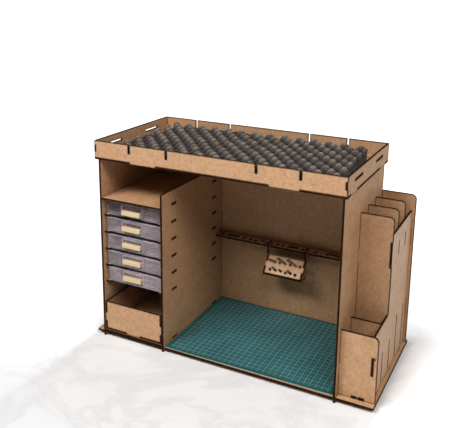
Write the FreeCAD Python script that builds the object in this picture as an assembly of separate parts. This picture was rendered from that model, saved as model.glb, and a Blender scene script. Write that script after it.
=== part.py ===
import FreeCAD, Part
import os
from FreeCAD import Vector as V

# Hobby workstation organizer: laser-cut 3 mm fibreboard panels joined by tabs and slots.
# A parts module with five clear drawers and one box drawer stands on the left, an open work
# bay with a cutting mat and a tool rack is in the middle, and a stepped brush and strip
# holder is fixed to the right side. A shallow tray with a foam liner closes the top.
#
# Layout frame used below, in millimetres: X to the right from the outer face of the left
# side panel, Y to the back from the front edges of the panels, Z up. Everything is shifted
# at the end so that the origin is under the middle of the object, on the ground.

# ---------------------------------------------------------------- driving dimensions
T = 3.0                  # fibreboard thickness
W = 435.0                # outer face of left side panel to outer face of right side panel
D_BASE = 224.0           # depth of the base plate
Y_BACK = 215.0           # front face of the back panel
H = 327.2                # top of the side panels = underside of the tray floor
GROUND = -1.7            # the ground, where the feet stand
FOOT = 4.6               # underside of the base plate
Z_BASE = FOOT + T        # top of the base plate
BASE_L, BASE_R = -14.0, 495.3
BACK_R = 493.5           # right edge of the back panel

X_DIV0 = 122.5           # left face of the divider
X_DIV1 = X_DIV0 + T
DIV_TOP = 283.0

TRAY_X0, TRAY_X1 = -7.7, 438.0
TRAY_Y0, TRAY_Y1 = 0.0, 229.0
TRAY_WALL = 29.7

SHELF_Z = 256.5          # underside of the shelf that roofs the drawers
RUNNER_Z = [225.0, 194.0, 163.0, 132.0, 101.0]   # undersides of the five runner pairs
RUNNER_W = 10.0
TAB_Y = [(30.5, 45.5), (175.5, 190.5)]           # shelf and runner tabs

DRAWER_W, DRAWER_H, DRAWER_L, DRAWER_WALL = 115.0, 26.0, 198.0, 1.6
DRAWER_Y0 = 9.5
RUNNER_Y0 = 7.0
HANDLE_W, HANDLE_H, HANDLE_D = 37.5, 8.0, 6.0
HANDLE_X = 59.4                                  # middle of the handles, left of the middle of the drawers
HANDLE_Z = [8.6, 10.8, 11.3, 11.5, 11.3]         # their middles over the drawers' undersides: glued on by hand

BOX_X0, BOX_X1 = 3.4, 121.3      # bottom drawer
BOX_Y0, BOX_Y1 = 1.5, 205.0
BOX_TOP = 65.0

HX0, HX1 = W, 485.0              # inside faces of the holder
PANEL_X = 494.0                  # right edge of the holder's front panel
HOLDER_FRONT_Y = 12.0
LOW_TOP, TALL_TOP, CROSS_TOP = 118.0, 252.0, 280.0
CROSS_Y = [86.0, 129.0, 172.0]   # tall cross panels
LOW_Y = [64.5, 107.5, 150.5, 193.5]   # low dividers between them
LOW_SLIT_TOP = [65.0, 65.0, 89.0, 89.0]
LOW_DIV_TOP = [112.5, 112.5, 136.5, 136.5]

RACK_Y0, RACK_Z = 190.0, 145.5
MAT = (129.3, 430.3, 1.0, 211.5, 2.2)
MAT_TURN = 0.5           # degrees: the mat lies a little askew

CX = (BASE_L + BASE_R) / 2.0
CY = (TRAY_Y0 + TRAY_Y1) / 2.0

os.makedirs("parts", exist_ok=True)
made = []


def box(x0, x1, y0, y1, z0, z1):
    return Part.makeBox(x1 - x0, y1 - y0, z1 - z0, V(x0, y0, z0))


def plus(a, *more):
    s = a.fuse(list(more)) if more else a
    return s.removeSplitter()


def minus(a, *more):
    return a.cut(list(more)) if more else a


def cyl(r, h, p, d):
    return Part.makeCylinder(r, h, V(*p), V(*d))


def outline(points, shift):
    # closed flat polygon through 3-D points, pushed along shift
    pts = [V(*p) for p in points]
    return Part.Face(Part.makePolygon(pts + [pts[0]])).extrude(V(*shift))


def round_edges(shape, r, test):
    # rounds the edges whose middle passes the test
    es = [e for e in shape.Edges if test(e.valueAt((e.FirstParameter + e.LastParameter) / 2.0), e)]
    return shape.makeFillet(r, es) if es else shape


def along(e, axis):
    a, b = e.valueAt(e.FirstParameter), e.valueAt(e.LastParameter)
    d = (b - a)
    return abs(d.dot(V(*axis))) > 0.999 * d.Length if d.Length > 1e-6 else False


def save(name, shape):
    s = shape.copy()
    s.translate(V(-CX, -CY, -GROUND))
    assert s.isValid(), name
    n = len(s.Solids)
    s.exportStep("parts/%s.step" % name)
    b = s.BoundBox
    made.append((name, n, s.Volume))
    print("%-26s solids %d  vol %9.1f  x %7.1f %7.1f  y %7.1f %7.1f  z %6.1f %6.1f" % (
        name, n, s.Volume, b.XMin, b.XMax, b.YMin, b.YMax, b.ZMin, b.ZMax))


# ---------------------------------------------------------------- carcass
FEET_Y = [(0.0, 14.0), (196.0, 212.0)]
UPRIGHTS = [(0.0, T), (X_DIV0, X_DIV1), (W - T, W)]
BACK_TABS_X = [(40.0, 75.0), (200.0, 235.0), (340.0, 375.0), (455.0, 475.0)]   # back panel into the base
BACK_TOP_TABS_X = [(60.0, 95.0), (340.0, 375.0)]
TOP_TABS_Y = [(40.0, 70.0), (150.0, 180.0)]                                    # side panels into the tray floor
FRONT_PANEL_TAB = (456.0, 478.0)
OUTER_TABS_Y = [(30.0, 50.0), (110.0, 128.0), (178.0, 192.0)]
CROSS_TAB_X = (450.0, 470.0)

base = box(BASE_L, BASE_R, 0, D_BASE, FOOT, Z_BASE)
holes = []
for x0, x1 in UPRIGHTS:
    for y0, y1 in FEET_Y:
        holes.append(box(x0, x1, y0 - (1 if y0 == 0 else 0), y1, FOOT - 1, Z_BASE + 1))
for x0, x1 in BACK_TABS_X:
    holes.append(box(x0, x1, Y_BACK, Y_BACK + T, FOOT - 1, Z_BASE + 1))
holes.append(box(FRONT_PANEL_TAB[0], FRONT_PANEL_TAB[1], HOLDER_FRONT_Y, HOLDER_FRONT_Y + T, FOOT - 1, Z_BASE + 1))
for y0, y1 in OUTER_TABS_Y:
    holes.append(box(HX1, HX1 + T, y0, y1, FOOT - 1, Z_BASE + 1))
for y in CROSS_Y + LOW_Y:
    holes.append(box(CROSS_TAB_X[0], CROSS_TAB_X[1], y, y + T, FOOT - 1, Z_BASE + 1))
base = minus(base, *holes)
base = round_edges(base, 1.5, lambda m, e: along(e, (0, 0, 1)) and (abs(m.x - BASE_L) < .1 or abs(m.x - BASE_R) < .1) and (m.y < .1 or m.y > D_BASE - .1))
save("base_plate", base)

# rows of mortises for the shelf, runners and module floor
MODULE_LEVELS = [SHELF_Z] + RUNNER_Z + [Z_BASE]
HOLDER_SIDE_TABS = {"front": (40.0, 62.0), "cross": [(60.0, 84.0), (196.0, 220.0)], "low": (40.0, 60.0)}
BACK_SIDE_TABS_Z = [(50.0, 80.0), (160.0, 190.0), (265.0, 290.0)]     # side panels and divider into the back panel
RACK_TAB_Y = (196.0, 208.0)

cut_common = []
for z in MODULE_LEVELS:
    for y0, y1 in TAB_Y:
        cut_common.append((y0, y1, z, z + T))

left = box(0, T, 0, Y_BACK, Z_BASE, H)
left = plus(left, *[box(0, T, y0, y1, GROUND, Z_BASE) for y0, y1 in FEET_Y],
            *[box(0, T, y0, y1, H, H + T) for y0, y1 in TOP_TABS_Y],
            *[box(0, T, Y_BACK, Y_BACK + T, z0, z1) for z0, z1 in BACK_SIDE_TABS_Z])
left = minus(left, *[box(-1, T + 1, a, b, c, d) for a, b, c, d in cut_common])
save("left_side_panel", left)

div = box(X_DIV0, X_DIV1, 0, Y_BACK, Z_BASE, DIV_TOP)
div = plus(div, *[box(X_DIV0, X_DIV1, y0, y1, GROUND, Z_BASE) for y0, y1 in FEET_Y],
           *[box(X_DIV0, X_DIV1, Y_BACK, Y_BACK + T, z0, z1) for z0, z1 in BACK_SIDE_TABS_Z[:2]])
div = minus(div, *[box(X_DIV0 - 1, X_DIV1 + 1, a, b, c, d) for a, b, c, d in cut_common],
            box(X_DIV0 - 1, X_DIV1 + 1, RACK_TAB_Y[0], RACK_TAB_Y[1], RACK_Z, RACK_Z + T))
save("divider_panel", div)

right = box(W - T, W, 0, Y_BACK, Z_BASE, H)
right = plus(right, *[box(W - T, W, y0, y1, GROUND, Z_BASE) for y0, y1 in FEET_Y],
             *[box(W - T, W, y0, y1, H, H + T) for y0, y1 in TOP_TABS_Y],
             *[box(W - T, W, Y_BACK, Y_BACK + T, z0, z1) for z0, z1 in BACK_SIDE_TABS_Z])
rh = [box(W - T - 1, W + 1, RACK_TAB_Y[0], RACK_TAB_Y[1], RACK_Z, RACK_Z + T)]
rh.append(box(W - T - 1, W + 1, HOLDER_FRONT_Y, HOLDER_FRONT_Y + T, *HOLDER_SIDE_TABS["front"]))
for y in CROSS_Y:
    for z0, z1 in HOLDER_SIDE_TABS["cross"]:
        rh.append(box(W - T - 1, W + 1, y, y + T, z0, z1))
for y in LOW_Y:
    rh.append(box(W - T - 1, W + 1, y, y + T, *HOLDER_SIDE_TABS["low"]))
right = minus(right, *rh)
save("right_side_panel", right)

# back panel: full height behind the cabinet, stepped down behind the holder
back = plus(box(0, W, Y_BACK, Y_BACK + T, Z_BASE, H), box(W - 1, BACK_R, Y_BACK, Y_BACK + T, Z_BASE, CROSS_TOP))
back = round_edges(back, 9.0, lambda m, e: along(e, (0, 1, 0)) and abs(m.x - (BACK_R)) < .1 and abs(m.z - CROSS_TOP) < .1)
back = plus(back, *[box(x0, x1, Y_BACK, Y_BACK + T, FOOT, Z_BASE) for x0, x1 in BACK_TABS_X],
            *[box(x0, x1, Y_BACK, Y_BACK + T, H, H + T) for x0, x1 in BACK_TOP_TABS_X])
OUTER_BACK_TABS_Z = [(60.0, 90.0), (190.0, 220.0)]
bh = []
for x0, x1 in (UPRIGHTS[0], UPRIGHTS[2]):
    for z0, z1 in BACK_SIDE_TABS_Z:
        bh.append(box(x0 - (1 if x0 == 0 else 0), x1, Y_BACK - 1, Y_BACK + T + 1, z0, z1))
for z0, z1 in BACK_SIDE_TABS_Z[:2]:
    bh.append(box(X_DIV0, X_DIV1, Y_BACK - 1, Y_BACK + T + 1, z0, z1))
for z0, z1 in OUTER_BACK_TABS_Z:
    bh.append(box(HX1, HX1 + T, Y_BACK - 1, Y_BACK + T + 1, z0, z1))
RACK_BACK_TABS_X = [(160.0, 180.0), (270.0, 290.0), (380.0, 400.0)]
for x0, x1 in RACK_BACK_TABS_X:
    bh.append(box(x0, x1, Y_BACK - 1, Y_BACK + T + 1, RACK_Z, RACK_Z + T))
back = minus(back, *bh)
save("back_panel", back)


# ---------------------------------------------------------------- parts module
def module_board(x0, x1, y0, y1, z, left_tab=True, right_tab=True):
    s = box(x0, x1, y0, y1, z, z + T)
    t = []
    for a, b in TAB_Y:
        if left_tab:
            t.append(box(0, x0, a, b, z, z + T))
        if right_tab:
            t.append(box(x1, X_DIV1, a, b, z, z + T))
    return plus(s, *t)


save("module_shelf", module_board(T, X_DIV0, 0, Y_BACK, SHELF_Z))
save("module_floor", module_board(T, X_DIV0, 0, Y_BACK, Z_BASE))
for i, z in enumerate(RUNNER_Z, 1):
    save("drawer_runner_left_%d" % i, module_board(T, T + RUNNER_W, RUNNER_Y0, 212.0, z, right_tab=False))
    save("drawer_runner_right_%d" % i, module_board(X_DIV0 - RUNNER_W, X_DIV0, RUNNER_Y0, 212.0, z, left_tab=False))

# clear drawers: open boxes with two partitions and a raised label frame round the handle
XM = (T + X_DIV0) / 2.0
for i, z in enumerate(RUNNER_Z, 1):
    z0 = z + T + 0.2
    z1 = z0 + DRAWER_H
    x0, x1 = XM - DRAWER_W / 2.0, XM + DRAWER_W / 2.0
    y0, y1 = DRAWER_Y0, DRAWER_Y0 + DRAWER_L
    w = DRAWER_WALL
    b = box(x0, x1, y0, y1, z0, z1)
    b = round_edges(b, 2.0, lambda m, e: along(e, (0, 0, 1)))
    inner = box(x0 + w, x1 - w, y0 + w, y1 - w, z0 + w, z1 + 1)
    b = minus(b, inner)
    third = (x1 - x0) / 3.0
    parts = [box(x0 + k * third - 0.7, x0 + k * third + 0.7, y0 + w - .2, y1 - w + .2, z0 + w - .2, z1 - 3.0) for k in (1, 2)]
    # frame on the front face round the handle
    fx0, fx1 = HANDLE_X - HANDLE_W / 2 - 2.8, HANDLE_X + HANDLE_W / 2 + 2.8
    fr = minus(box(fx0, fx1, y0 - 1.2, y0 + .2, z0 + 2.2, z1 - 3.4), box(fx0 + 1.4, fx1 - 1.4, y0 - 2, y0, z0 + 3.6, z1 - 4.8))
    # lip along the top of the front
    lip = box(x0 + 2.2, x1 - 2.2, y0 - 1.2, y0 + .2, z1 - 1.6, z1)
    b = plus(b, fr, lip, *parts)
    save("drawer_%d_box" % i, b)
    hz = z0 + HANDLE_Z[i - 1]
    h = box(HANDLE_X - HANDLE_W / 2, HANDLE_X + HANDLE_W / 2, y0 - HANDLE_D, y0, hz - HANDLE_H / 2, hz + HANDLE_H / 2)
    h = round_edges(h, 1.2, lambda m, e: m.y < y0 - HANDLE_D + .1 or (along(e, (0, 1, 0))))
    save("drawer_%d_handle" % i, h)

# bottom box drawer: floor plate under four walls
zf = Z_BASE + T + 0.3
BOX_TABS = (28.0, 44.0)          # side tabs of front and back
BOX_BOT = (48.0, 76.0)           # bottom tab of the front and back
fl = box(BOX_X0, BOX_X1, BOX_Y0, BOX_Y1, zf, zf + T)
fl = minus(fl, box(BOX_BOT[0], BOX_BOT[1], BOX_Y0 - 1, BOX_Y0 + T, zf - 1, zf + T + 1),
           box(BOX_BOT[0], BOX_BOT[1], BOX_Y1 - T, BOX_Y1 + 1, zf - 1, zf + T + 1),
           box(BOX_X0 - 1, BOX_X0 + T, 60, 90, zf - 1, zf + T + 1), box(BOX_X0 - 1, BOX_X0 + T, 130, 160, zf - 1, zf + T + 1),
           box(BOX_X1 - T, BOX_X1 + 1, 60, 90, zf - 1, zf + T + 1), box(BOX_X1 - T, BOX_X1 + 1, 130, 160, zf - 1, zf + T + 1))
save("bottom_drawer_floor", fl)
for nm, ya in (("front", BOX_Y0), ("back", BOX_Y1 - T)):
    s = plus(box(BOX_X0 + T, BOX_X1 - T, ya, ya + T, zf + T, BOX_TOP), box(BOX_X0, BOX_X1, ya, ya + T, *BOX_TABS),
             box(BOX_BOT[0], BOX_BOT[1], ya, ya + T, zf, zf + T + 1))
    save("bottom_drawer_" + nm, s)
for nm, xa in (("left", BOX_X0), ("right", BOX_X1 - T)):
    s = minus(box(xa, xa + T, BOX_Y0, BOX_Y1, zf + T, BOX_TOP), box(xa - 1, xa + T + 1, BOX_Y0 - 1, BOX_Y0 + T, *BOX_TABS),
              box(xa - 1, xa + T + 1, BOX_Y1 - T, BOX_Y1 + 1, *BOX_TABS))
    s = plus(s, box(xa, xa + T, 60, 90, zf, zf + T + 1), box(xa, xa + T, 130, 160, zf, zf + T + 1))
    save("bottom_drawer_" + nm, s)

# ---------------------------------------------------------------- work bay
mx0, mx1, my0, my1, mt = MAT
mat = box(mx0, mx1, my0, my1, Z_BASE + 0.1, Z_BASE + 0.1 + mt)
mat = round_edges(mat, 1.0, lambda m, e: along(e, (0, 0, 1)))
mat.rotate(V(mx0, my0, 0), V(0, 0, 1), MAT_TURN)
save("cutting_mat", mat)

# tool rack: a perforated ledge across the back of the bay
rack = box(X_DIV1, W - T, RACK_Y0, Y_BACK, RACK_Z, RACK_Z + T)
rack = plus(rack, box(X_DIV0, X_DIV1, RACK_TAB_Y[0], RACK_TAB_Y[1], RACK_Z, RACK_Z + T),
            box(W - T, W, RACK_TAB_Y[0], RACK_TAB_Y[1], RACK_Z, RACK_Z + T),
            *[box(x0, x1, Y_BACK, Y_BACK + T, RACK_Z, RACK_Z + T) for x0, x1 in RACK_BACK_TABS_X])


def pill(xa, xb, yc, w, z0, h):
    r = w / 2.0
    return plus(box(xa + r, xb - r, yc - r, yc + r, z0, z0 + h), cyl(r, h, (xa + r, yc, z0), (0, 0, 1)), cyl(r, h, (xb - r, yc, z0), (0, 0, 1)))


RACK_PILLS = [(146, 170, 201, 9), (271, 291, 201, 9), (345, 370, 201, 9)]
RACK_HOLES = [(135, 201, 3.0), (181, 200, 3.0), (196, 199, 3.0), (207, 199, 3.0), (219, 203, 2.2), (228, 198, 2.2),
              (251, 200, 3.0), (261, 200, 2.5), (300, 200, 3.0), (325, 199, 3.0), (383, 200, 3.0), (396, 200, 3.0), (411, 200, 3.0)]
HOOK_X = (237.0, 309.8)           # left faces of the two hooks of the bit holder
HOOK_SLOT_Y = (195.8, 201.4)
cuts = [pill(a, b, y, w, RACK_Z - 1, T + 2) for a, b, y, w in RACK_PILLS]
cuts += [cyl(r, T + 2, (x, y, RACK_Z - 1), (0, 0, 1)) for x, y, r in RACK_HOLES]
cuts += [box(x - 0.4, x + T + 0.4, HOOK_SLOT_Y[0], HOOK_SLOT_Y[1], RACK_Z - 1, RACK_Z + T + 1) for x in HOOK_X]
rack = minus(rack, *cuts)
save("tool_rack_shelf", rack)

# bit holder: a small sloping rack on two hooks, lifted off upwards
PT = (186.5, 133.5)      # upper front edge of the sloping face, as (Y, Z)
PB = (163.9, 105.9)      # lower front edge
ux, uz = PB[0] - PT[0], PB[1] - PT[1]
L = (ux * ux + uz * uz) ** 0.5
ux, uz = ux / L, uz / L            # down the slope
nx, nz = uz, -ux                   # into the board, away from the viewer
if nx < 0:
    nx, nz = -nx, -nz
HK = RACK_Z + T + 0.25             # the hooks sit on the rack
gap = 0.35
yb = RACK_Y0 - gap                 # back edge of the cheeks, just clear of the rack
BIT_Z = PB[1] + nz * T - T         # underside of the bottom board: it touches the sloping face from below
TAB_S = (12.5, 23.0)               # side tabs of the sloping face, from its upper edge


def cheek(xa):
    p = [(yb, BIT_Z), (yb, HK), (HOOK_SLOT_Y[0] + 0.5, HK), (HOOK_SLOT_Y[0] + 0.5, RACK_Z - 0.5 + 0.0), (HOOK_SLOT_Y[1] - 0.5, RACK_Z - 0.5),
         (HOOK_SLOT_Y[1] - 0.5, HK + 5.5), (yb - 3.0, HK + 5.5), (yb - 7.0, HK + 2.0), (yb - 7.0, 140.0),
         (PT[0], PT[1]), (PB[0], PB[1]), (PB[0] + nx * T, BIT_Z)]
    return outline([(xa, y, z) for y, z in p], (T, 0, 0))


def slab(x0, x1, a, b):
    # board along the slope from a to b (distance from the upper edge), 3 mm thick behind the face
    q = [(PT[0] + ux * a, PT[1] + uz * a), (PT[0] + ux * b, PT[1] + uz * b)]
    q += [(q[1][0] + nx * T, q[1][1] + nz * T), (q[0][0] + nx * T, q[0][1] + nz * T)]
    return outline([(x0, y, z) for y, z in q], (x1 - x0, 0, 0))


xi0, xi1 = HOOK_X[0] + T, HOOK_X[1]
face = slab(xi0, xi1, 0.0, L)
face = plus(face, slab(HOOK_X[0], xi0, *TAB_S), slab(xi1, HOOK_X[1] + T, *TAB_S))
left_c = minus(cheek(HOOK_X[0]), slab(HOOK_X[0] - 1, xi0 + 1, *TAB_S))
right_c = minus(cheek(HOOK_X[1]), slab(xi1 - 1, HOOK_X[1] + T + 1, *TAB_S))
# bottom board, with one tab each side
bot = box(xi0, xi1, PB[0] + nx * T, yb, BIT_Z, BIT_Z + T)
bot = plus(bot, box(HOOK_X[0], xi0, 172.0, 182.0, BIT_Z, BIT_Z + T), box(xi1, HOOK_X[1] + T, 172.0, 182.0, BIT_Z, BIT_Z + T))
left_c = minus(left_c, box(HOOK_X[0] - 1, xi0 + 1, 172.0, 182.0, BIT_Z - 1, BIT_Z + T))
right_c = minus(right_c, box(xi1 - 1, HOOK_X[1] + T + 1, 172.0, 182.0, BIT_Z - 1, BIT_Z + T))
# holes for bits in two rows, and small slanting slots
fc = []
BIT_HOLES = [(255.4, 12.5, 2.0), (265.0, 12.4, 1.9), (285.5, 12.6, 1.9), (304.4, 12.3, 2.2),
             (249.7, 27.9, 2.2), (280.2, 28.3, 2.0), (299.0, 28.7, 2.2)]
BIT_SLOTS = [(242.8, 10.6, 254.6, 12.4), (258.8, 5.2, 276.9, 13.1), (277.7, 4.3, 297.9, 13.1), (252.3, 22.9, 262.3, 28.8),
             (266.1, 25.5, 272.7, 28.0), (282.4, 23.9, 291.7, 28.4)]


def on_face(x, s, d):
    return V(x, PT[0] + ux * s + nx * d, PT[1] + uz * s + nz * d)


for x, s, r in BIT_HOLES:
    fc.append(Part.makeCylinder(r, T + 2, on_face(x, s, -1), V(0, nx, nz)))
for x0, s0, x1, s1 in BIT_SLOTS:
    dx, ds = x1 - x0, s1 - s0
    ll = (dx * dx + ds * ds) ** 0.5
    px, ps = -ds / ll * 1.35, dx / ll * 1.35
    pts = [on_face(x0 + px, s0 + ps, -1), on_face(x1 + px, s1 + ps, -1), on_face(x1 - px, s1 - ps, -1), on_face(x0 - px, s0 - ps, -1)]
    fc.append(Part.Face(Part.makePolygon(pts + [pts[0]])).extrude(V(0, nx, nz) * (T + 2)))
face = minus(face, *fc)
save("bit_holder_face", face)
save("bit_holder_left_cheek", left_c)
save("bit_holder_right_cheek", right_c)
save("bit_holder_bottom", bot)

# ---------------------------------------------------------------- brush and strip holder
fp = box(HX0, PANEL_X, HOLDER_FRONT_Y, HOLDER_FRONT_Y + T, Z_BASE, LOW_TOP - 1)
fp = round_edges(fp, 8.0, lambda m, e: along(e, (0, 1, 0)) and m.x > PANEL_X - .1 and m.z > LOW_TOP - 1.1)
fp = plus(fp, box(FRONT_PANEL_TAB[0], FRONT_PANEL_TAB[1], HOLDER_FRONT_Y, HOLDER_FRONT_Y + T, FOOT, Z_BASE),
          box(W - T, W, HOLDER_FRONT_Y, HOLDER_FRONT_Y + T, *HOLDER_SIDE_TABS["front"]))
fp = minus(fp, box(HX1, HX1 + T, HOLDER_FRONT_Y - 1, HOLDER_FRONT_Y + T + 1, 53.0, 83.0),
           box(HX1 + T - .1, HX1 + T + 2.4, HOLDER_FRONT_Y - 1, HOLDER_FRONT_Y + T + 1, 80.4, 83.0),
           box(457.0, 465.0, HOLDER_FRONT_Y - 1, HOLDER_FRONT_Y + T + 1, Z_BASE, Z_BASE + 3.8),
           box(467.5, 476.5, HOLDER_FRONT_Y - 1, HOLDER_FRONT_Y + T + 1, Z_BASE, Z_BASE + 3.8))
save("holder_front_panel", fp)

# outer panel, stepped: low in front, tall behind the first cross panel
yo = HOLDER_FRONT_Y + T
y1c = CROSS_Y[0] + T
op = plus(box(HX1, HX1 + T, yo, y1c + 1, Z_BASE, LOW_TOP), box(HX1, HX1 + T, y1c, Y_BACK, Z_BASE, TALL_TOP))
op = plus(op, box(HX1, HX1 + T, HOLDER_FRONT_Y, yo, 53.0, 83.0),
          box(HX1, HX1 + T, CROSS_Y[0], y1c, 198.0, 240.0),
          *[box(HX1, HX1 + T, a, b, FOOT, Z_BASE) for a, b in OUTER_TABS_Y],
          *[box(HX1, HX1 + T, Y_BACK, Y_BACK + T, z0, z1) for z0, z1 in OUTER_BACK_TABS_Z])
oc = []
for y, zt in zip(LOW_Y, LOW_SLIT_TOP):
    oc.append(box(HX1 - 1, HX1 + T + 1, y, y + T, 14.0, zt))
for y in CROSS_Y[1:]:
    oc.append(box(HX1 - 1, HX1 + T + 1, y, y + T, 205.0, 228.0))
op = minus(op, *oc)
save("holder_outer_panel", op)

# tall cross panels
for i, y in enumerate(CROSS_Y, 1):
    s = box(HX0, HX1, y, y + T, Z_BASE, CROSS_TOP)
    if i == 1:
        s = plus(s, box(HX1 - 1, HX1 + T, y, y + T, LOW_TOP, CROSS_TOP))
        xr = HX1 + T
    else:
        xr = HX1
    s = round_edges(s, 7.0, lambda m, e: along(e, (0, 1, 0)) and abs(m.x - xr) < .1 and abs(m.z - CROSS_TOP) < .1)
    s = plus(s, box(CROSS_TAB_X[0], CROSS_TAB_X[1], y, y + T, FOOT, Z_BASE), *[box(W - T, W, y, y + T, z0, z1) for z0, z1 in HOLDER_SIDE_TABS["cross"]])
    if i == 1:
        s = minus(s, box(HX1, HX1 + T + 1, y - 1, y + T + 1, 198.0, 240.0))
    else:
        s = plus(s, box(HX1, HX1 + T, y, y + T, 205.0, 228.0))
    save("holder_cross_panel_%d" % i, s)

# low dividers halfway between them, their tabs flush in the slits of the outer panel
for i, (y, zt, zd) in enumerate(zip(LOW_Y, LOW_SLIT_TOP, LOW_DIV_TOP), 1):
    s = box(HX0, HX1, y, y + T, Z_BASE, zd)
    s = plus(s, box(CROSS_TAB_X[0], CROSS_TAB_X[1], y, y + T, FOOT, Z_BASE), box(W - T, W, y, y + T, *HOLDER_SIDE_TABS["low"]),
             box(HX1, HX1 + T, y, y + T, 14.0, zt))
    save("holder_low_divider_%d" % i, s)

# ---------------------------------------------------------------- tray
WALL_X_TABS = [(64.5, 114.5), (315.5, 365.5)]      # bottom tabs of front and back walls
WALL_Y_TABS = [(18.0, 49.0), (177.0, 208.0)]       # bottom tabs of side walls
END_TAB_Z = (H + T + 10.5, H + T + 22.0)           # side wall tabs in the notched ends of front and back walls
FRONT_SLOTS_X = [62.8, 135.0, 294.6, 366.6]
zt0, zt1 = H + T, H + T + TRAY_WALL
tf = box(TRAY_X0, TRAY_X1, TRAY_Y0, TRAY_Y1, H, H + T)
tc = [box(x0, x1, TRAY_Y0 - 1, TRAY_Y0 + T, H - 1, H + T + 1) for x0, x1 in WALL_X_TABS]
tc += [box(x0, x1, TRAY_Y1 - T, TRAY_Y1 + 1, H - 1, H + T + 1) for x0, x1 in WALL_X_TABS]
tc += [box(TRAY_X0 - 1, TRAY_X0 + T, y0, y1, H - 1, H + T + 1) for y0, y1 in WALL_Y_TABS]
tc += [box(TRAY_X1 - T, TRAY_X1 + 1, y0, y1, H - 1, H + T + 1) for y0, y1 in WALL_Y_TABS]
for x0, x1 in (UPRIGHTS[0], UPRIGHTS[2]):
    tc += [box(x0, x1, y0, y1, H - 1, H + T + 1) for y0, y1 in TOP_TABS_Y]
tc += [box(x0, x1, Y_BACK, Y_BACK + T, H - 1, H + T + 1) for x0, x1 in BACK_TOP_TABS_X]
save("tray_floor", minus(tf, *tc))

for nm, ya in (("front", TRAY_Y0), ("back", TRAY_Y1 - T)):
    s = plus(box(TRAY_X0, TRAY_X1, ya, ya + T, zt0, zt1), *[box(x0, x1, ya, ya + T, H, zt0) for x0, x1 in WALL_X_TABS])
    c = [box(TRAY_X0 - 1, TRAY_X0 + T, ya - 1, ya + T + 1, *END_TAB_Z), box(TRAY_X1 - T, TRAY_X1 + 1, ya - 1, ya + T + 1, *END_TAB_Z)]
    c += [box(x - 1.8, x + 1.8, ya - 1, ya + T + 1, zt1 - 15.0, zt1 + 1) for x in FRONT_SLOTS_X]
    save("tray_%s_wall" % nm, minus(s, *c))
for nm, xa in (("left", TRAY_X0), ("right", TRAY_X1 - T)):
    s = plus(box(xa, xa + T, TRAY_Y0 + T, TRAY_Y1 - T, zt0, zt1), *[box(xa, xa + T, y0, y1, H, zt0) for y0, y1 in WALL_Y_TABS],
             box(xa, xa + T, TRAY_Y0, TRAY_Y0 + T, *END_TAB_Z), box(xa, xa + T, TRAY_Y1 - T, TRAY_Y1, *END_TAB_Z))
    c = [box(xa - 1, xa + T + 1, y0, y1, zt0 + 14.8, zt0 + 18.4) for y0, y1 in ((34.0, 75.0), (150.0, 191.0))]
    save("tray_%s_wall" % nm, minus(s, *c))

# foam liner: a plain slab of the outer size of the egg-crate foam, cut a little out of square
save("foam_liner", outline([(34.0, TRAY_Y0 + T + 0.5, zt0 + 0.1), (428.5, TRAY_Y0 + T + 0.5, zt0 + 0.1), (412.0, 196.0, zt0 + 0.1), (38.0, 196.0, zt0 + 0.1)],
                           (0, 0, 32.6)))

print("nodes", len(made), "solids", sum(n for _, n, _ in made), "volume cm3", round(sum(v for _, _, v in made) / 1000.0, 1))
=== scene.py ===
import bpy, bmesh, math
import numpy as np
from mathutils import Matrix, Vector


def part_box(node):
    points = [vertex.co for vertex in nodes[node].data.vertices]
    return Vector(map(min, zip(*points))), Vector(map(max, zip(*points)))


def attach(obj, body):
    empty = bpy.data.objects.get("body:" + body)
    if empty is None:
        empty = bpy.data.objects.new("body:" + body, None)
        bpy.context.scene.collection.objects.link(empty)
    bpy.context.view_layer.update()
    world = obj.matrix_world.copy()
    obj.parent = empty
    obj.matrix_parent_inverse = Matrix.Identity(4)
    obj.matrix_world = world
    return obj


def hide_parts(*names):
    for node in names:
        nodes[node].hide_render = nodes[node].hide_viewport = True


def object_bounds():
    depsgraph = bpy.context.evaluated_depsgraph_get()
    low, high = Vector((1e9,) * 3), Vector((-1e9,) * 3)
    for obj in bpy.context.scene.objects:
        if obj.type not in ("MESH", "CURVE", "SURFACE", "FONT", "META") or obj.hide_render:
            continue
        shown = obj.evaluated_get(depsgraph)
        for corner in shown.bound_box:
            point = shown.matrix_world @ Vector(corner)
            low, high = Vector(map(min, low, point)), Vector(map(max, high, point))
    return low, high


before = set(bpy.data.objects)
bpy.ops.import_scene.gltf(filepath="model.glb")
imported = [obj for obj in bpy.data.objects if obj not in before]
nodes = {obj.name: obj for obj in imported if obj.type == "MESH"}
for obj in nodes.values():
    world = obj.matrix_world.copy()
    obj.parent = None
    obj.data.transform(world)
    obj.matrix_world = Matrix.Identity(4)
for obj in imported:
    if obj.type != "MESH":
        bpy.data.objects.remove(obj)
cad_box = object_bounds()

# The CAD part was drawn from its left panel's outer face and its panels' front edges; the ground is at z = -1.7.
# mm(x, y, z) turns such a point, in millimetres, into the row frame, in metres.
CX, CY = 240.65, 114.5


def mm(x, y, z):
    return Vector(((x - CX) / 1000.0, (y - CY) / 1000.0, (z + 1.7) / 1000.0))


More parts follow.
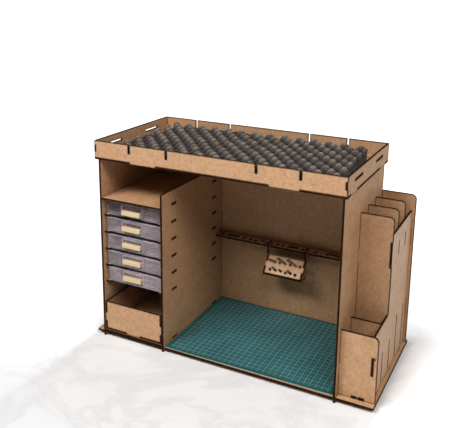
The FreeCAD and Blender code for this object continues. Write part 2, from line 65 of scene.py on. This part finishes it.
# ------------------------------------------------------------------ camera
AZ, EL, ROLL = 0.462482, 0.232526, 0.012912
LENS_PX = 677.81
ca, sa, ce, se = math.cos(AZ), math.sin(AZ), math.cos(EL), math.sin(EL)
back = Vector((sa * ce, -ca * ce, se))
right = Vector((ca, sa, 0.0))
up = back.cross(right)
cr, sr = math.cos(ROLL), math.sin(ROLL)
r2 = right * cr + up * sr
u2 = up * cr - right * sr
cam_data = bpy.data.cameras.new("camera")
cam = bpy.data.objects.new("camera", cam_data)
bpy.context.scene.collection.objects.link(cam)
pos = mm(702.06, -891.24, 635.98)
cam.matrix_world = Matrix(((r2.x, u2.x, back.x, pos.x), (r2.y, u2.y, back.y, pos.y), (r2.z, u2.z, back.z, pos.z), (0, 0, 0, 1)))
cam_data.sensor_fit = "HORIZONTAL"
cam_data.sensor_width = 36.0
cam_data.lens = LENS_PX / 469.0 * 36.0
cam_data.shift_x = 0.0
cam_data.shift_y = -79.0 / 469.0
cam_data.clip_start = 0.01
cam_data.clip_end = 200.0
bpy.context.scene.camera = cam


# ------------------------------------------------------------------ node helpers
class Mat:
    def __init__(self, name):
        self.m = bpy.data.materials.new(name)
        self.m.use_nodes = True
        self.nt = self.m.node_tree
        self.nt.nodes.clear()
        self.out = self.nt.nodes.new("ShaderNodeOutputMaterial")
        self.b = self.nt.nodes.new("ShaderNodeBsdfPrincipled")
        self.nt.links.new(self.b.outputs[0], self.out.inputs[0])
        self.tc = self.nt.nodes.new("ShaderNodeTexCoord").outputs["Object"]

    def put(self, socket, v):
        if hasattr(v, "is_output") or isinstance(v, bpy.types.NodeSocket):
            self.nt.links.new(v, socket)
        else:
            socket.default_value = v

    def mapping(self, scale=(1, 1, 1), loc=(0, 0, 0), rot=(0, 0, 0), vec=None):
        n = self.nt.nodes.new("ShaderNodeMapping")
        self.put(n.inputs["Vector"], vec if vec is not None else self.tc)
        n.inputs["Scale"].default_value = scale
        n.inputs["Location"].default_value = loc
        n.inputs["Rotation"].default_value = rot
        return n.outputs[0]

    def noise(self, scale, detail=2.0, rough=0.5, vec=None, dist=0.0):
        n = self.nt.nodes.new("ShaderNodeTexNoise")
        self.put(n.inputs["Vector"], vec if vec is not None else self.tc)
        n.inputs["Scale"].default_value = scale
        n.inputs["Detail"].default_value = detail
        n.inputs["Roughness"].default_value = rough
        n.inputs["Distortion"].default_value = dist
        return n.outputs[0]

    def voronoi(self, scale, vec=None, feature="F1", rand=1.0):
        n = self.nt.nodes.new("ShaderNodeTexVoronoi")
        n.feature = feature
        self.put(n.inputs["Vector"], vec if vec is not None else self.tc)
        n.inputs["Scale"].default_value = scale
        n.inputs["Randomness"].default_value = rand
        return n.outputs[0]

    def ramp(self, fac, stops, interp="LINEAR"):
        n = self.nt.nodes.new("ShaderNodeValToRGB")
        n.color_ramp.interpolation = interp
        el = n.color_ramp.elements
        while len(el) < len(stops):
            el.new(0.5)
        for e, (p, c) in zip(el, stops):
            e.position = p
            e.color = (c[0], c[1], c[2], 1.0) if not isinstance(c, (int, float)) else (c, c, c, 1.0)
        self.put(n.inputs[0], fac)
        return n.outputs[0]

    def mix(self, fac, a, b, mode="MIX"):
        n = self.nt.nodes.new("ShaderNodeMix")
        n.data_type = "RGBA"
        n.blend_type = mode
        n.clamp_result = False
        f, x, y = n.inputs[0], n.inputs[6], n.inputs[7]
        self.put(f, fac)
        self.put(x, (*a, 1.0) if isinstance(a, tuple) and len(a) == 3 else a)
        self.put(y, (*b, 1.0) if isinstance(b, tuple) and len(b) == 3 else b)
        return n.outputs[2]

    def math(self, op, a, b=0.0, clamp=False):
        n = self.nt.nodes.new("ShaderNodeMath")
        n.operation = op
        n.use_clamp = clamp
        self.put(n.inputs[0], a)
        self.put(n.inputs[1], b)
        return n.outputs[0]

    def sep(self, vec=None):
        n = self.nt.nodes.new("ShaderNodeSeparateXYZ")
        self.put(n.inputs[0], vec if vec is not None else self.tc)
        return n.outputs[0], n.outputs[1], n.outputs[2]

    def bump(self, height, strength=0.3, distance=0.0003, normal=None):
        n = self.nt.nodes.new("ShaderNodeBump")
        n.inputs["Strength"].default_value = strength
        n.inputs["Distance"].default_value = distance
        self.put(n.inputs["Height"], height)
        if normal is not None:
            self.put(n.inputs["Normal"], normal)
        self.put(self.b.inputs["Normal"], n.outputs[0])
        return n.outputs[0]

    def edge(self, radius=0.0012, samples=6):
        # 0 on flat parts, rising towards the piece's own edges
        nb = self.nt.nodes.new("ShaderNodeBevel")
        nb.samples = samples
        nb.inputs["Radius"].default_value = radius
        geo = self.nt.nodes.new("ShaderNodeNewGeometry")
        d = self.nt.nodes.new("ShaderNodeVectorMath")
        d.operation = "DOT_PRODUCT"
        self.nt.links.new(nb.outputs[0], d.inputs[0])
        self.nt.links.new(geo.outputs["Normal"], d.inputs[1])
        return self.math("SUBTRACT", 1.0, d.outputs["Value"], clamp=True)


def srgb(r, g, b):
    f = lambda c: (c / 12.92) if c <= 0.04045 else ((c + 0.055) / 1.055) ** 2.4
    return (f(r / 255.0), f(g / 255.0), f(b / 255.0))


def tint(c, k):
    return tuple(min(1.0, x * y) for x, y in zip(c, k if isinstance(k, tuple) else (k, k, k)))


# ------------------------------------------------------------------ fibreboard
FACE = (0.512, 0.334, 0.202)


def board_face(name, tone=(1.0, 1.0, 1.0), shift=0.0, rough=(0.46, 0.58), level=0.34, soot_and_shade_radius=0.0027):
    m = Mat(name)
    base = tint(FACE, tone)
    v = m.mapping(loc=(shift, shift * 0.7, -shift * 1.3))
    broad = m.noise(9.0, 2.0, 0.5, v)
    cloud = m.noise(60.0, 3.0, 0.6, v, 0.4)
    blot = m.noise(150.0, 2.0, 0.55, v, 0.3)
    hue = m.noise(230.0, 2.0, 0.6, m.mapping(loc=(shift + 3.1, 1.7, 0.4)))
    fibre = m.noise(330.0, 3.0, 0.65, v, 0.6)
    fine = m.noise(1100.0, 2.0, 0.7, v)
    c = m.mix(m.ramp(broad, [(0.32, 0.0), (0.68, 1.0)]), tint(base, (0.955, 0.94, 0.92)), tint(base, (1.03, 1.04, 1.055)))
    c = m.mix(m.ramp(cloud, [(0.35, 0.0), (0.7, 0.6)]), c, tint(base, (0.89, 0.86, 0.81)))
    c = m.mix(m.ramp(blot, [(0.36, 0.0), (0.64, 1.0)]), m.mix(1.0, c, (0.955, 0.94, 0.925), "MULTIPLY"), m.mix(1.0, c, (1.05, 1.06, 1.075), "MULTIPLY"))
    c = m.mix(m.ramp(hue, [(0.38, 0.0), (0.62, 1.0)]), m.mix(1.0, c, (1.035, 0.985, 0.94), "MULTIPLY"), m.mix(1.0, c, (0.97, 1.01, 1.06), "MULTIPLY"))
    c = m.mix(m.ramp(fibre, [(0.46, 0.0), (0.70, 0.75)]), c, m.mix(1.0, c, (0.74, 0.69, 0.62), "MULTIPLY"))
    c = m.mix(m.ramp(fine, [(0.52, 0.0), (0.75, 0.6)]), c, m.mix(1.0, c, (1.16, 1.18, 1.22), "MULTIPLY"))
    dark = m.voronoi(330.0, v)
    c = m.mix(m.ramp(dark, [(0.05, 0.5), (0.15, 0.0)]), c, tint(base, (0.55, 0.47, 0.40)))
    # smoke stain beside the cuts, partly real soot and partly painted shade: widened so the joints between boards and
    # the feet look darkened as if in shadow
    e = m.edge(soot_and_shade_radius)
    soot_and_painted_shade = m.math("MULTIPLY", m.ramp(e, [(0.0008, 0.0), (0.007, 0.5), (0.035, 0.95)]), m.ramp(cloud, [(0.2, 0.85), (0.6, 1.0)]))
    c = m.mix(soot_and_painted_shade, c, (0.046, 0.0200, 0.0108))
    m.put(m.b.inputs["Base Color"], c)
    m.put(m.b.inputs["Roughness"], m.ramp(cloud, [(0.3, rough[0]), (0.7, rough[1])]))
    m.b.inputs["Specular IOR Level"].default_value = level
    m.bump(m.math("ADD", m.math("MULTIPLY", fibre, 0.7), m.math("MULTIPLY", fine, 0.3)), 0.22, 0.00022)
    return m.m


def board_edge(name, tone=(1.0, 1.0, 1.0)):
    m = Mat(name)
    streak = m.noise(1.0, 3.0, 0.6, m.mapping((900.0, 900.0, 900.0)))
    broad = m.noise(35.0, 3.0, 0.6)
    c = m.mix(m.ramp(broad, [(0.35, 0.0), (0.68, 1.0)]), tint((0.029, 0.0122, 0.0066), tone), tint((0.050, 0.0215, 0.0118), tone))
    c = m.mix(m.ramp(streak, [(0.45, 0.0), (0.72, 0.6)]), c, tint((0.017, 0.0078, 0.0045), tone))
    m.put(m.b.inputs["Base Color"], c)
    m.b.inputs["Roughness"].default_value = 0.8
    m.b.inputs["Specular IOR Level"].default_value = 0.05
    m.bump(streak, 0.35, 0.0003)
    return m.m


FACES = [board_face("board_face_a", (1.0, 1.0, 1.0), 0.0), board_face("board_face_b", (0.965, 0.955, 0.94), 0.37),
         # the fourth board, used on the holder's outer panel, is a paler, glossier copy: painted sheen and painted
         # light on that face
         board_face("board_face_c", (1.02, 1.02, 1.03), 0.81), board_face("board_face_d_painted_sheen", (1.12, 1.14, 1.19), 1.31, (0.32, 0.42), 0.5, 0.0032),
         # the fifth board, used on the bit holder face, is a much paler copy: painted light on that strongly lit
         # sloping face
         board_face("board_face_e_painted_light", (1.28, 1.30, 1.34), 2.17, (0.44, 0.54), 0.4, 0.0030)]
EDGE = board_edge("board_edge")


def board(name, k):
    o = nodes[name]
    me = o.data
    lo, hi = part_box(name)
    d = hi - lo
    if name == "bit_holder_face":
        a, b = mm(0, 186.5, 135.5), mm(0, 165.0, 104.5)
        s = (b - a).normalized()
        n = Vector((0, s.z, -s.y))
    else:
        i = min(range(3), key=lambda j: d[j])
        n = Vector([1.0 if j == i else 0.0 for j in range(3)])
    me.materials.clear()
    me.materials.append(FACES[k])
    me.materials.append(EDGE)
    for p in me.polygons:
        p.material_index = 0 if abs(p.normal.dot(n)) > 0.9 else 1


# ------------------------------------------------------------------ handles, drawers, mat
def handle_material():
    m = Mat("handle_wood")
    v = m.mapping((14.0, 260.0, 260.0))
    grain = m.noise(1.0, 4.0, 0.6, v, 1.2)
    fine = m.noise(1.0, 2.0, 0.6, m.mapping((60.0, 1400.0, 1400.0)))
    base = srgb(208, 190, 163)
    c = m.mix(m.ramp(grain, [(0.35, 0.0), (0.68, 1.0)]), tint(base, (1.02, 1.02, 1.02)), tint(base, (0.90, 0.83, 0.70)))
    c = m.mix(m.ramp(fine, [(0.55, 0.0), (0.8, 0.5)]), c, tint(base, (0.72, 0.62, 0.46)))
    m.put(m.b.inputs["Base Color"], c)
    m.b.inputs["Roughness"].default_value = 0.5
    m.bump(grain, 0.15, 0.0002)
    return m.m


def drawer_material(name, haze, shift):
    # clear moulded plastic, clouded by handling; the rims and lips are painted paler and more opaque as a painted
    # highlight where they catch the light
    m = Mat(name)
    v = m.mapping(loc=(shift, shift * 1.7, shift * 0.6))
    cloud = m.noise(34.0, 2.0, 0.5, v)
    rub = m.noise(1.0, 3.0, 0.6, m.mapping((24.0, 24.0, 420.0), vec=v))
    up = m.noise(1.0, 2.0, 0.5, m.mapping((520.0, 40.0, 16.0), vec=v))
    c = m.mix(m.ramp(cloud, [(0.35, 0.0), (0.7, 1.0)]), srgb(166, 152, 158), srgb(190, 177, 183))
    c = m.mix(m.ramp(rub, [(0.5, 0.0), (0.72, 0.55)]), c, srgb(220, 212, 217))
    # painted highlight: rims and lips made paler and more opaque
    rim = m.ramp(m.edge(0.0013, 4), [(0.004, 0.0), (0.12, 1.0)])
    c = m.mix(rim, c, srgb(226, 217, 222))
    m.put(m.b.inputs["Base Color"], c)
    m.put(m.b.inputs["Roughness"], m.ramp(cloud, [(0.3, 0.16), (0.7, 0.3)]))
    m.b.inputs["IOR"].default_value = 1.5
    m.b.inputs["Specular IOR Level"].default_value = 0.55
    # the right-hand third, behind the last partition, is cloudier
    px_ = m.sep()[0]
    right_third = m.ramp(m.math("ADD", m.math("MULTIPLY", m.math("SUBTRACT", px_, mm(81.9, 0, 0).x), 400.0), 0.5), [(0.0, 0.0), (1.0, 1.0)])
    a = m.ramp(cloud, [(0.3, haze - 0.04), (0.7, haze + 0.05)])
    a = m.math("ADD", a, m.math("MULTIPLY", right_third, 0.10))
    a = m.math("ADD", a, m.math("MULTIPLY", m.ramp(rub, [(0.5, 0.0), (0.75, 1.0)]), 0.08))
    a = m.math("ADD", a, m.math("MULTIPLY", m.ramp(up, [(0.55, 0.0), (0.75, 1.0)]), 0.05))
    a = m.math("ADD", a, m.math("MULTIPLY", rim, 0.34), clamp=True)
    m.put(m.b.inputs["Alpha"], a)
    m.bump(m.math("ADD", rub, m.math("MULTIPLY", up, 0.5)), 0.05, 0.0002)
    return m.m


def mat_material():
    m = Mat("cutting_mat")
    wx, wy, wz = m.sep()
    # the mat lies turned by half a degree about its front left corner
    t = math.radians(0.5)
    o = mm(129.3, 1.0, 0.0)
    ex, ey = m.math("SUBTRACT", wx, o.x), m.math("SUBTRACT", wy, o.y)
    x = m.math("ADD", m.math("MULTIPLY", ex, math.cos(t)), m.math("MULTIPLY", ey, math.sin(t)))
    y = m.math("SUBTRACT", m.math("MULTIPLY", ey, math.cos(t)), m.math("MULTIPLY", ex, math.sin(t)))
    wide, deep = 0.3010, 0.2105
    base = m.mix(m.ramp(m.noise(14.0, 3.0, 0.6), [(0.35, 0.0), (0.7, 1.0)]), srgb(34, 88, 92), srgb(50, 106, 110))
    base = m.mix(m.ramp(m.noise(1500.0, 2.0, 0.6), [(0.5, 0.0), (0.8, 0.5)]), base, srgb(60, 116, 120))
    border = m.mix(m.ramp(m.noise(40.0, 2.0, 0.6), [(0.35, 0.0), (0.7, 1.0)]), srgb(30, 94, 88), srgb(40, 104, 98))

    def off(c, size):
        # distance from the middle line
        return m.math("ABSOLUTE", m.math("SUBTRACT", c, size / 2.0))

    def wrap_lines(step, half, soft, x0, y0):
        best = None
        for c, o_ in ((x, x0), (y, y0)):
            w = m.math("ADD", c, step * 400.5 - o_)
            w = m.math("MODULO", w, step)
            w = m.math("ABSOLUTE", m.math("SUBTRACT", w, step / 2.0))
            best = w if best is None else m.math("MINIMUM", best, w)
        return m.ramp(m.math("MULTIPLY", best, 1.0 / 0.004), [((half - soft) / 0.004, 1.0), ((half + soft) / 0.004, 0.0)])

    ax, ay = off(x, wide), off(y, deep)
    bx, by = 0.1445, 0.1010
    inside = m.math("MULTIPLY", m.math("LESS_THAN", ax, bx + 0.0003), m.math("LESS_THAN", ay, by + 0.0003))
    c = m.mix(inside, border, base)
    ten = m.math("MULTIPLY", wrap_lines(0.01, 0.00030, 0.00012, wide / 2.0, deep / 2.0 + 0.005), inside)
    five = m.math("MULTIPLY", wrap_lines(0.005, 0.00018, 0.0001, wide / 2.0, deep / 2.0), inside)
    worn = m.ramp(m.noise(55.0, 3.0, 0.6), [(0.3, 0.65), (0.7, 1.0)])
    c = m.mix(m.math("MULTIPLY", m.math("MULTIPLY", five, 0.42), worn), c, srgb(150, 186, 190))
    c = m.mix(m.math("MULTIPLY", m.math("MULTIPLY", ten, 0.88), worn), c, srgb(172, 206, 206))
    # the cut sides show the pale core
    geo = m.nt.nodes.new("ShaderNodeNewGeometry")
    side = m.math("LESS_THAN", m.math("ABSOLUTE", m.sep(geo.outputs["True Normal"])[2]), 0.5)
    side = m.math("MULTIPLY", side, m.math("LESS_THAN", m.sep()[2], 0.0107))
    core = m.mix(m.ramp(m.noise(160.0, 3.0, 0.6), [(0.35, 0.0), (0.7, 1.0)]), srgb(152, 166, 162), srgb(172, 184, 178))
    c = m.mix(side, c, core)
    m.put(m.b.inputs["Base Color"], c)
    m.put(m.b.inputs["Roughness"], m.ramp(m.noise(70.0, 3.0, 0.6), [(0.3, 0.40), (0.7, 0.54)]))
    m.b.inputs["Specular IOR Level"].default_value = 0.5
    m.bump(m.noise(1400.0, 2.0, 0.6), 0.12, 0.0002)
    return m.m


HANDLE, MAT_M = handle_material(), mat_material()
DRAWER = {i: drawer_material("drawer_plastic_%d" % i, h, 0.29 * i) for i, h in ((1, 0.10), (2, 0.20), (3, 0.23), (4, 0.26), (5, 0.30))}
SHEET = {"tray_front_wall": 2, "tray_right_wall": 0, "tray_left_wall": 1, "tray_back_wall": 1, "right_side_panel": 1,
         "left_side_panel": 0, "divider_panel": 1, "back_panel": 1, "holder_front_panel": 0, "holder_outer_panel": 3,
         "bottom_drawer_front": 0, "bit_holder_face": 4, "base_plate": 0}
for i, (name, o) in enumerate(sorted(nodes.items())):
    if name.endswith("_box"):
        o.data.materials.clear()
        o.data.materials.append(DRAWER[int(name[7])])
    elif name.endswith("_handle"):
        o.data.materials.clear()
        o.data.materials.append(HANDLE)
    elif name == "cutting_mat":
        o.data.materials.clear()
        o.data.materials.append(MAT_M)
    elif name != "foam_liner":
        board(name, SHEET.get(name, i % 3))


# ------------------------------------------------------------------ egg-crate foam
def foam_material():
    m = Mat("egg_crate_foam")
    cells = m.voronoi(1300.0)
    n = m.noise(240.0, 4.0, 0.65)
    # painted light and shade: the crowns are painted pale as if lit from above, and the hollows between them painted
    # dark as if shaded
    t = m.math("MULTIPLY", m.math("SUBTRACT", m.sep()[2], 0.3489), 1.0 / 0.0146)
    t = m.math("ADD", t, m.math("MULTIPLY", m.math("SUBTRACT", n, 0.5), 0.5))
    c = m.ramp(t, [(0.0, srgb(33, 26, 24)), (0.35, srgb(54, 46, 43)), (0.7, srgb(88, 79, 74)), (1.0, srgb(130, 124, 116))])
    c = m.mix(m.ramp(cells, [(0.1, 0.5), (0.5, 0.0)]), c, m.mix(1.0, c, (0.35, 0.32, 0.30), "MULTIPLY"))
    m.put(m.b.inputs["Base Color"], c)
    m.b.inputs["Roughness"].default_value = 0.95
    m.b.inputs["Specular IOR Level"].default_value = 0.12
    m.b.inputs["Sheen Weight"].default_value = 0.16
    m.b.inputs["Sheen Roughness"].default_value = 0.6
    m.bump(m.math("ADD", n, m.math("MULTIPLY", cells, 0.6)), 0.55, 0.0006)
    return m.m


def make_foam():
    # peaks stand in a chequered lattice; the block is cut with a knife, a little out of square
    z_low, z_top, z_valley = 330.4, 361.6, 347.0
    PX, PY, X0, Y0 = 27.7, 32.3, 402.0, 25.0
    rng = np.random.default_rng(7)
    ph = rng.uniform(0, 2 * math.pi, 12)
    step = 1.3
    nx, ny = int((428.0 - 34.5) / step), int((195.5 - 4.0) / step)
    lump = rng.normal(0.0, 1.0, (40, 40))

    def surface(x, y):
        wx = x + 1.6 * math.sin(0.021 * y + ph[0]) + 1.2 * math.sin(0.043 * x + ph[1])
        wy = y + 1.6 * math.sin(0.019 * x + ph[2]) + 1.0 * math.sin(0.051 * y + ph[3])
        a, b = math.cos(2 * math.pi * (wx - X0) / PX), math.cos(2 * math.pi * (wy - Y0) / PY)
        f = a * b
        # rounded crowns, and a ridge that runs from crown to crown
        f = math.sin(f * 1.25) / math.sin(1.25)
        i, j = int(round((wx - X0) / PX * 2)) % 40, int(round((wy - Y0) / PY * 2)) % 40
        h = 0.5 + 0.5 * f
        soft = 1.0 + 0.07 * lump[i, j] * max(0.0, f)
        return z_valley + (z_top - z_valley) * min(1.0, h * soft) + 0.35 * math.sin(0.11 * x + ph[4]) * math.sin(0.13 * y + ph[5])

    def edge_wave(t, k):
        return 0.9 * math.sin(0.055 * t + ph[k]) + 0.5 * math.sin(0.13 * t + ph[k + 1])

    bm = bmesh.new()
    grid = {}
    for j in range(ny + 1):
        v = j / ny
        yy = 4.2 + v * 190.8
        xl = 35.2 + 4.0 * v + edge_wave(yy, 6)
        xr = 427.2 - 16.5 * v + edge_wave(yy, 8)
        for i in range(nx + 1):
            u = i / nx
            x = xl + u * (xr - xl)
            y = yy - (0.9 + edge_wave(x, 10) * 0.6) * v
            grid[i, j] = bm.verts.new(mm(x, y, surface(x, y)))
    for j in range(ny):
        for i in range(nx):
            bm.faces.new((grid[i, j], grid[i + 1, j], grid[i + 1, j + 1], grid[i, j + 1]))
    ring = [(i, 0) for i in range(nx)] + [(nx, j) for j in range(ny)] + [(i, ny) for i in range(nx, 0, -1)] + [(0, j) for j in range(ny, 0, -1)]
    mid_p = mm(230, 95, 0)
    rings = [[grid[k] for k in ring]]
    for t in (0.12, 0.3, 0.5, 0.72, 1.0):
        row = []
        for n_, k in enumerate(ring):
            g = grid[k].co
            c = Vector((g.x, g.y, g.z + (z_low / 1000.0 - g.z) * t))
            d = Vector((g.x - mid_p.x, g.y - mid_p.y, 0)).normalized()
            c -= d * (0.0007 * math.sin(t * math.pi) + 0.00025 * math.sin(n_ * 0.9 + t * 17.0))
            row.append(bm.verts.new(c))
        rings.append(row)
    n = len(ring)
    for a, b in zip(rings, rings[1:]):
        for k in range(n):
            bm.faces.new((a[(k + 1) % n], a[k], b[k], b[(k + 1) % n]))
    bm.faces.new(list(reversed(rings[-1])))
    bmesh.ops.recalc_face_normals(bm, faces=bm.faces)
    me = bpy.data.meshes.new("egg_crate_foam")
    bm.to_mesh(me)
    bm.free()
    for p in me.polygons:
        p.use_smooth = True
    o = bpy.data.objects.new("egg_crate_foam", me)
    bpy.context.scene.collection.objects.link(o)
    me.materials.append(foam_material())
    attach(o, "root")
    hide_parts("foam_liner")
    return o


make_foam()

# ------------------------------------------------------------------ floor and light
me = bpy.data.meshes.new("floor")
s = 30.0
me.from_pydata([(-s, -s, 0), (s, -s, 0), (s, s, 0), (-s, s, 0)], [], [(0, 1, 2, 3)])
floor = bpy.data.objects.new("floor", me)
bpy.context.scene.collection.objects.link(floor)
fm = Mat("floor")
# polished white stone with faint clouds, turning into the white background away from the object
vein = fm.noise(5.0, 5.0, 0.62, dist=1.4)
fc = fm.mix(fm.ramp(vein, [(0.42, 0.0), (0.5, 0.8), (0.58, 0.0)]), (0.765, 0.765, 0.765), (0.69, 0.685, 0.685))
# the stone stays dark under the base plate, where no light comes in between the feet
hx, hy = (cad_box[1][0] - cad_box[0][0]) / 2.0, (cad_box[1][1] - cad_box[0][1]) / 2.0
gx, gy, gz = fm.sep()
deep = fm.math("MINIMUM", fm.math("SUBTRACT", hx, fm.math("ABSOLUTE", gx)), fm.math("SUBTRACT", hy, fm.math("ABSOLUTE", gy)))
fc = fm.mix(fm.ramp(fm.math("MULTIPLY", deep, 10.0), [(0.06, 0.0), (0.11, 1.0)]), fc, (0.06, 0.048, 0.04))
fm.put(fm.b.inputs["Base Color"], fc)
fm.b.inputs["Roughness"].default_value = 0.6
fm.b.inputs["Specular IOR Level"].default_value = 0.2
gr = fm.math("SQRT", fm.math("ADD", fm.math("MULTIPLY", gx, gx), fm.math("MULTIPLY", gy, gy)))
ahead = fm.ramp(fm.math("ADD", fm.math("MULTIPLY", fm.math("ADD", gy, hy), 5.0), 1.0), [(0.0, 0.12), (1.0, 1.0)])
gx = fm.math("MAXIMUM", fm.math("SUBTRACT", fm.math("ABSOLUTE", gx), hx), 0.0)
gy = fm.math("MAXIMUM", fm.math("SUBTRACT", gy, hy), 0.0)
away = fm.math("SQRT", fm.math("ADD", fm.math("MULTIPLY", gx, gx), fm.math("MULTIPLY", gy, gy)))
glow = fm.math("MULTIPLY", fm.ramp(away, [(0.0, 0.0), (0.010, 0.17), (0.035, 0.34), (0.08, 0.52), (0.4, 0.80)]), ahead)
glow = fm.math("MAXIMUM", glow, fm.ramp(fm.math("MULTIPLY", gr, 0.25), [(0.18, 0.0), (0.5, 1.0)]))
lp = fm.nt.nodes.new("ShaderNodeLightPath").outputs["Is Camera Ray"]
fm.b.inputs["Emission Color"].default_value = (1.0, 1.0, 1.0, 1.0)
fm.put(fm.b.inputs["Emission Strength"], fm.math("MULTIPLY", glow, lp))
me.materials.append(fm.m)

world = bpy.data.worlds.new("world")
bpy.context.scene.world = world
world.use_nodes = True
wt = world.node_tree
bg = wt.nodes["Background"]
bg.inputs[0].default_value = (1.0, 1.0, 1.0, 1.0)
wl = wt.nodes.new("ShaderNodeLightPath")
wm = wt.nodes.new("ShaderNodeMath")
wm.operation = "MULTIPLY_ADD"
wt.links.new(wl.outputs["Is Camera Ray"], wm.inputs[0])
wm.inputs[1].default_value = 1.0
wm.inputs[2].default_value = 0.05
wt.links.new(wm.outputs[0], bg.inputs[1])


def area(name, az, el, dist, size, power, color=(1, 1, 1), target=(0, 0, 0.18)):
    d = bpy.data.lights.new(name, "AREA")
    d.shape = "DISK"
    d.size = size
    d.energy = power
    d.color = color
    o = bpy.data.objects.new(name, d)
    bpy.context.scene.collection.objects.link(o)
    A, E = math.radians(az), math.radians(el)
    t = Vector(target)
    o.location = t + Vector((math.sin(A) * math.cos(E), -math.cos(A) * math.cos(E), math.sin(E))) * dist
    o.rotation_euler = (t - o.location).to_track_quat("-Z", "Y").to_euler()
    return o


area("key_left", -30, 46, 3.0, 0.8, 43.4)
area("key_front", -10, 46, 3.0, 0.8, 24.8)
area("fill_front_right", 35, 46, 3.0, 0.8, 29.1)
area("fill_right", 60, 46, 3.0, 0.8, 30.4)
area("fill_side", 85, 46, 3.0, 0.8, 3.1)
area("low_left", -55, 10, 3.0, 0.8, 8.5)
area("low_right", 120, 12, 3.0, 1.2, 7.8)
area("rim", 150, 12, 3.0, 1.2, 15.0)
area("back_left", -150, 35, 3.0, 1.2, 5.0)

vs = bpy.context.scene.view_settings
vs.view_transform = "Standard"
vs.look = "None"
vs.exposure = 0.0
vs.gamma = 0.82
